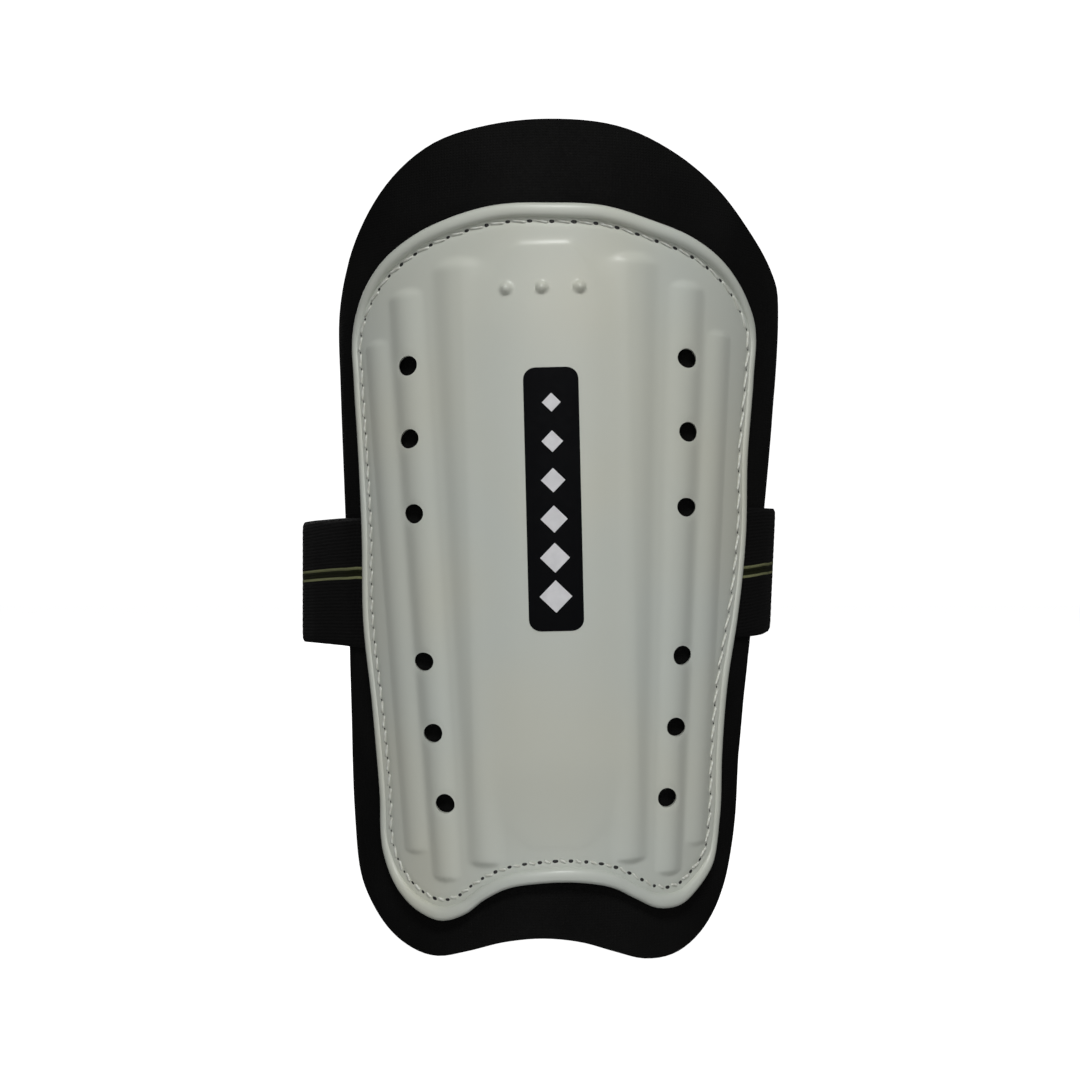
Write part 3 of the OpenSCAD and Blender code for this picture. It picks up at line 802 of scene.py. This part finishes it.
def pits(spots, run):
    """Small dark lens in each needle hole, longer along the seam."""
    level = shell_height(spots) - 0.16
    centre, out = wrap(spots, level), radial(spots)
    ahead = unit(wrap(spots + run * 0.5, level) - centre)
    side = np.cross(out, ahead)
    sides, points, faces = 10, [], []
    for c, o, f, s, u in zip(centre, out, ahead, side, run[:, 1] ** 2):
        start = len(points)
        size = np.array([0.9, 0.7]) * rng.uniform(0.8, 1.15, 2) * (1 - 0.55 * u)
        for scale, rise in ((1.0, 0.0), (0.8, 0.2), (0.35, 0.26)):
            for k in range(sides):
                a = 2 * math.pi * k / sides
                spot = f * math.cos(a) * size[0] * scale + s * math.sin(a) * size[1] * scale + o * rise
                points.append(c + spot * MM)
        for ring in (start, start + sides):
            for k in range(sides):
                a, b = ring + k, ring + (k + 1) % sides
                faces.append([a, b, b + sides, a + sides])
        faces.append([start + 2 * sides + k for k in range(sides)])
        faces.append([start + k for k in range(sides)][::-1])
    return np.array(points), faces


# ---- badge ----


def badge_grid(size, centre, corner, cols=14):
    """Grid over a rectangle with round corners, on the panel's own axes."""
    half = np.array(size, float) / 2
    turn = np.linspace(0, math.pi / 2, 7)
    arc = np.stack([half[0] - corner * (1 - np.sin(turn)), half[1] - corner * (1 - np.cos(turn))], 1)
    straight = np.linspace(-arc[-1, 1], arc[-1, 1], 28)[1:-1]
    middle = np.stack([np.full(len(straight), half[0]), straight], 1)
    outline = np.vstack([arc * [1, -1], middle, arc[::-1]])
    k = np.linspace(-1, 1, cols + 1)
    grid = np.stack([outline[:, :1] * k, np.repeat(outline[:, 1:], cols + 1, 1)], -1)
    return tilted(grid + np.array(centre))


def print_on_panel(name, grid, low, high, material):
    """Thin layer that follows the panel, between two heights over its surface."""
    base = shell_height(grid)
    points, faces = slab(wrap(grid, base + high), wrap(grid, base + low), 0.03)
    return piece(name, points, faces, "pad", material, sharp=50)


def badge():
    """Plain black bar with a column of white diamonds."""
    bar = print_on_panel("badge_bar", badge_grid(BADGE_SIZE, BADGE_CENTRE, BADGE_CORNER), -0.1, 0.12,
                         ink_material("badge_ink", 0.002, (1, 1.1, 1.5)))
    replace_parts(bar, "front_badge")
    white = ink_material("badge_white", 0.78, (1, 1, 1.02))
    u, v = np.linspace(-1, 1, 9), np.linspace(-1, 1, 13)
    for index in range(DIAMONDS):
        size = 4.4 - 0.38 * index
        centre = np.array(BADGE_CENTRE) + [0, -26.5 + DIAMOND_PITCH * index]
        width = (1 - np.abs(v)) * size * 0.96 + 0.05
        grid = np.stack([width[:, None] * u, np.repeat(v[:, None] * size, len(u), 1)], -1)
        print_on_panel(f"badge_diamond_{index + 1}", tilted(grid + centre), 0.08, 0.17, white)


# ---- strap ----


def back_point(angle, rise, height=BACK_HEIGHT):
    """Points on the arc behind the calf, at angles from straight back towards +X."""
    a, r = np.radians(angle), BACK_RADIUS + rise
    x, y = BACK_CENTRE
    return np.stack([x + r * np.sin(a), y + r * np.cos(a), 0 * a + height], -1)


def root_points(root, rise):
    """The sewn end of a strap, over the backing. It stops short of the seam's channel."""
    u = np.linspace(root[1] + math.copysign(4, root[1]), root[2], 8)
    return wrap(np.stack([u, np.full(8, root[0], float)], 1), rise) / MM


def outward(path):
    """Horizontal direction away from the leg at each point of a strap."""
    run = unit(np.gradient(path, axis=0))
    out = unit(np.cross(run, [0, 0, 1.0]))
    return np.where(np.sum(out * (path - [0, 8, 0]), axis=1, keepdims=True) < 0, -out, out)


def band(name, path, width, thick, shift, body, material, cords=0.0, corner=0.0, replaces=(),
         lean=None, lines=((0, 1), (0, 0))):
    """Flat tape along a path in millimetres, with cords along its length and rounded selvedges.
    It leans with the leg's taper up to the first length in lean, and stands upright from the second.
    The woven lines drift across it as lines tells: lengths along the path, then how far down at each.
    """
    path = even_path(path, PATH_PITCH)
    run = run_length(path)
    out = outward(path)
    v = np.linspace(-1, 1, 39)
    edge = np.sqrt(np.clip(1 - np.abs(v) ** 24, 0.08, 1))
    ridge = cords * np.cos(v * width / 2 * math.pi)
    left = run[-1] - run
    lost = np.where(left < corner, corner - np.sqrt(np.maximum(corner**2 - (corner - left) ** 2, 0)), 0)
    half = (width / 2 - lost)[:, None]
    face = (thick / 2 * edge + ridge)[None, :]
    centre = path[:, None] + out[:, None] * shift
    if lean:
        share = WRAP_TAPER * (1 - ramp((run - lean[0]) / (lean[1] - lean[0])))[:, None]
        centre = centre + out[:, None] * (share * half * v)[..., None]
    rise = np.array([0, 0, 1.0])
    front = centre + out[:, None] * face[..., None] + rise * (half * v)[..., None]
    back = centre - out[:, None] * face[..., None] + rise * (half * v)[..., None]
    points, faces = slab(front * MM, back * MM, 0.1)
    along = np.repeat(run[:, None], len(v), 1)
    across = half * v + np.interp(run, *lines)[:, None]
    values = {"along": slab_values(along), "across": slab_values(across)}
    obj = piece(name, points, faces, body, material, values, sharp=60)
    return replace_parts(obj, *replaces) if replaces else obj


def straps():
    """Elastic of each side, from its sewn end to behind the calf."""
    elastic = elastic_material()
    lift = STRAP_THICK / 2 + 0.05
    left = smooth_path(LEFT_BOW + [back_point(LONG_JOIN, TAB_OFFSET)], 8)
    left_arc = back_point(np.arange(LONG_JOIN + BACK_STEP, TAB_START + 0.1, BACK_STEP), TAB_OFFSET)
    right = smooth_path(RIGHT_BOW + [back_point(SHORT_JOIN, 0)], 8)
    right_arc = back_point(np.arange(SHORT_JOIN - BACK_STEP, SHORT_END - 0.1, -BACK_STEP), 0)
    long_path = np.vstack([root_points(ROOT_LEFT, lift), left, left_arc])
    short_path = np.vstack([root_points(ROOT_RIGHT, lift), right, right_arc])
    long_side = band("strap_long_side", smooth_again(long_path), STRAP_WIDTH, STRAP_THICK, 0, None,
                     elastic, cords=0.03, replaces=("strap_root_left", "long_strap"),
                     lean=(19, 45), lines=LEFT_LINES)
    short_side = band("strap_short_side", smooth_again(short_path), STRAP_WIDTH, STRAP_THICK, 0, None,
                      elastic, cords=0.03, replaces=("strap_root_right", "short_strap"),
                      lean=(50, 90), lines=RIGHT_LINES)
    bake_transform(long_side)
    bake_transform(short_side)


def smooth_again(path, rounds=6):
    """A path with its small kinks taken out, keeping both ends."""
    path = even_path(path, PATH_PITCH)
    for _ in range(rounds):
        path[1:-1] = 0.5 * path[1:-1] + 0.25 * (path[:-2] + path[2:])
    return path


def closure():
    """Tab sewn on the long strap's end, its hooks, and the loops that they hold."""
    sewn = np.arange(-3, TAB_START + 1.1, 1.0)
    free = np.arange(TAB_START + 5, TAB_END + 0.1, 1.0)
    path = np.vstack([back_point(sewn, TAB_OFFSET + STRAP_THICK + 0.1), back_point(free, TAB_OFFSET)])
    tab = band("closure_tab_tape", smooth_again(path), STRAP_WIDTH - 0.6, STRAP_THICK, 0, None,
               tape_material(), cords=0.03, corner=TAB_CORNER, replaces=("closure_tab",))
    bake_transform(tab)
    hook_path = back_point(np.arange(TAB_START + 3, TAB_END - 5.9, 1.0), TAB_OFFSET)
    hooks = moulded_material("hook_tape", 0.02)
    band("hook_base", hook_path, PATCH_WIDTH, 0.5, -(STRAP_THICK / 2 + 0.25), "tab", hooks,
         replaces=("hook_patch",))
    hook_rows(hook_path, hooks)
    loop_path = back_point(np.arange(SHORT_END + 2, TAB_END - 3.9, 1.0), 0)
    loops = band("loop_pile", loop_path, PATCH_WIDTH, PATCH_THICK, (STRAP_THICK + PATCH_THICK) / 2,
                 "short_side", pile_material("loop_tape", 0.012), replaces=("loop_patch",))
    rough(loops, 0.12)


def rough(obj, amount):
    """Small seeded bumps on a finished mesh, in millimetres."""
    mesh = obj.data
    normals = np.empty(len(mesh.vertices) * 3)
    mesh.vertices.foreach_get("normal", normals)
    co = np.empty(len(mesh.vertices) * 3)
    mesh.vertices.foreach_get("co", co)
    size = rng.uniform(-1, 0.4, (len(mesh.vertices), 1)) * amount * MM
    mesh.vertices.foreach_set("co", (co.reshape(-1, 3) + normals.reshape(-1, 3) * size).ravel())
    mesh.update()


def hook_rows(path, material):
    """Rows of small bent hooks on the inner face of the tab."""
    spots = even_path(path, 1.5)[1:-1]
    out = outward(spots)
    run = unit(np.gradient(spots, axis=0))
    heights = np.arange(-PATCH_WIDTH / 2 + 1.5, PATCH_WIDTH / 2 - 1.4, 1.5)
    paths, ups = [], []
    for spot, away, ahead in zip(spots, out, run):
        foot = spot - away * (STRAP_THICK / 2 + 0.45)
        for row, height in enumerate(heights):
            lean = ahead * (0.35 if row % 2 else -0.35)
            base = foot + [0, 0, height]
            paths.append([base, base - away * 0.35, base - away * 0.6 + lean * 0.4,
                          base - away * 0.66 + lean * 1.1, base - away * 0.5 + lean * 1.6])
            ups.append([0, 0, 1])
    points, faces = tube(np.array(paths) * MM, np.array(ups, float)[:, None], 0.13 * MM, sides=5)
    piece("hook_rows", points, faces, "tab", material, sharp=80)


def box_seam(name, start, end, rise, body, node, material, inner=False):
    """Stitches round a rectangle on the arc behind the calf."""
    half = PATCH_WIDTH / 2 - BOX_MARGIN
    count = round(abs(end - start) * math.pi / 180 * (BACK_RADIUS + rise) / BOX_STITCH)
    rows_up = round(2 * half / BOX_STITCH)
    corners = [(start + (end - start) * k / count, half) for k in range(count)]
    corners += [(end, half - 2 * half * k / rows_up) for k in range(rows_up)]
    corners += [(end - (end - start) * k / count, -half) for k in range(count)]
    corners += [(start, -half + 2 * half * k / rows_up) for k in range(rows_up)]
    angle, up = np.array(corners).T
    spots = back_point(angle, rise, BACK_HEIGHT + up)
    nxt = np.roll(spots, -1, 0)
    a = np.radians(angle)
    out = np.stack([np.sin(a), np.cos(a), 0 * a], 1) * (-1 if inner else 1)
    first, last = spots * 0.9 + nxt * 0.1, spots * 0.1 + nxt * 0.9
    points, faces = stitches(first * MM, last * MM, out, 0.33 * MM, 0.2 * MM)
    obj = piece(name, points, faces, body, material, sharp=80)
    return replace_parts(obj, node) if node else obj


def strap_seams():
    thread = thread_material("strap_thread", (0.012, 0.012, 0.012, 1), (0.03, 0.03, 0.03, 1))
    outer = TAB_OFFSET + STRAP_THICK / 2
    box_seam("hook_seam", TAB_START + 4, TAB_END - 7, outer, "tab", "hook_stitching", thread)
    box_seam("loop_seam", SHORT_END + 3, TAB_END - 5, -STRAP_THICK / 2, "short_side", "loop_stitching",
             thread, inner=True)
    box_seam("tab_join_seam", -2, 1.5, outer + STRAP_THICK + 0.1, "long_side", None, thread)


# ---- build ----

backing()
plastic = shell_material()
shell(plastic)
shell_rim(plastic)
seam()
badge()
straps()
closure()
strap_seams()

# ---- stage, light and camera ----


def backdrop(name, points, faces, glow):
    """Pale paper that only the camera sees, so that it throws no light on the object."""
    mesh = bpy.data.meshes.new(name)
    mesh.from_pydata(points, [], faces)
    mesh.shade_smooth()
    obj = add_object(name, mesh)
    paper = Surface(name, Roughness=0.9)
    paper.set("Base Color", paper.mix(paper.noise(4, 2), (0.86, 0.86, 0.86, 1), (0.9, 0.9, 0.9, 1)))
    paper.shader.inputs["Emission Color"].default_value = (1, 1, 1, 1)
    paper.shader.inputs["Emission Strength"].default_value = glow
    obj.data.materials.append(paper.material)
    obj.visible_diffuse = obj.visible_glossy = obj.visible_transmission = obj.visible_shadow = False
    obj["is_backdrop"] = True


def stage():
    """Pale floor under the object, and a pale room round it."""
    low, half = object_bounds()[0][2] - 0.004, 2.5
    corners = [[-half, -half, low], [half, -half, low], [half, half, low], [-half, half, low]]
    backdrop("studio_floor", corners, [[0, 1, 2, 3]], 0.9)
    radius, turns, levels = 4, 32, 9
    points = [[radius * math.cos(a) * math.cos(e), radius * math.sin(a) * math.cos(e), radius * math.sin(e)]
              for e in np.linspace(-math.pi / 2, math.pi / 2, levels)
              for a in np.arange(turns) * 2 * math.pi / turns]
    j, k = np.divmod(np.arange((levels - 1) * turns), turns)
    a, b = j * turns + k, j * turns + (k + 1) % turns
    backdrop("studio_room", points, np.stack([a, b, b + turns, a + turns], 1).tolist(), 1.0)


def area_light(name, place, target, size, power):
    data = bpy.data.lights.new(name, "AREA")
    data.shape, data.size, data.size_y = "RECTANGLE", size[0], size[1]
    data.energy = power
    lamp = add_object(name, data)
    lamp.location = place
    x, y, z = np.array(target) - np.array(place)
    lamp.rotation_euler = (math.atan2(math.hypot(x, y), -z), 0, math.atan2(-x, y))


def lights():
    area_light("key_softbox", (0.03, -0.85, 0.8), (0, -0.05, 0.02), (0.3, 0.22), 5.8)
    area_light("front_fill", (0.05, -1.6, 0.3), (0, 0, 0), (0.9, 0.9), 4)
    area_light("back_fill", (-0.5, 1.3, 0.7), (0, 0, 0), (0.8, 0.8), 5)
    area_light("floor_bounce", (0, -0.6, -0.6), (0, -0.05, -0.05), (0.5, 0.15), 0.7)
    world = bpy.data.worlds.new("studio")
    bpy.context.scene.world = world
    world.use_nodes = True
    sky = world.node_tree.nodes["Background"]
    sky.inputs["Color"].default_value = (1, 1, 1, 1)
    sky.inputs["Strength"].default_value = 0.1


def camera():
    data = bpy.data.cameras.new("camera")
    data.sensor_width, data.lens = 36, 53.07
    obj = add_object("camera", data)
    obj.location = (-0.0033, -0.507, 0.0015)
    obj.rotation_euler = (math.pi / 2, 0, 0)
    bpy.context.scene.camera = obj


stage()
lights()
camera()
bpy.context.scene.view_settings.view_transform = "Standard"
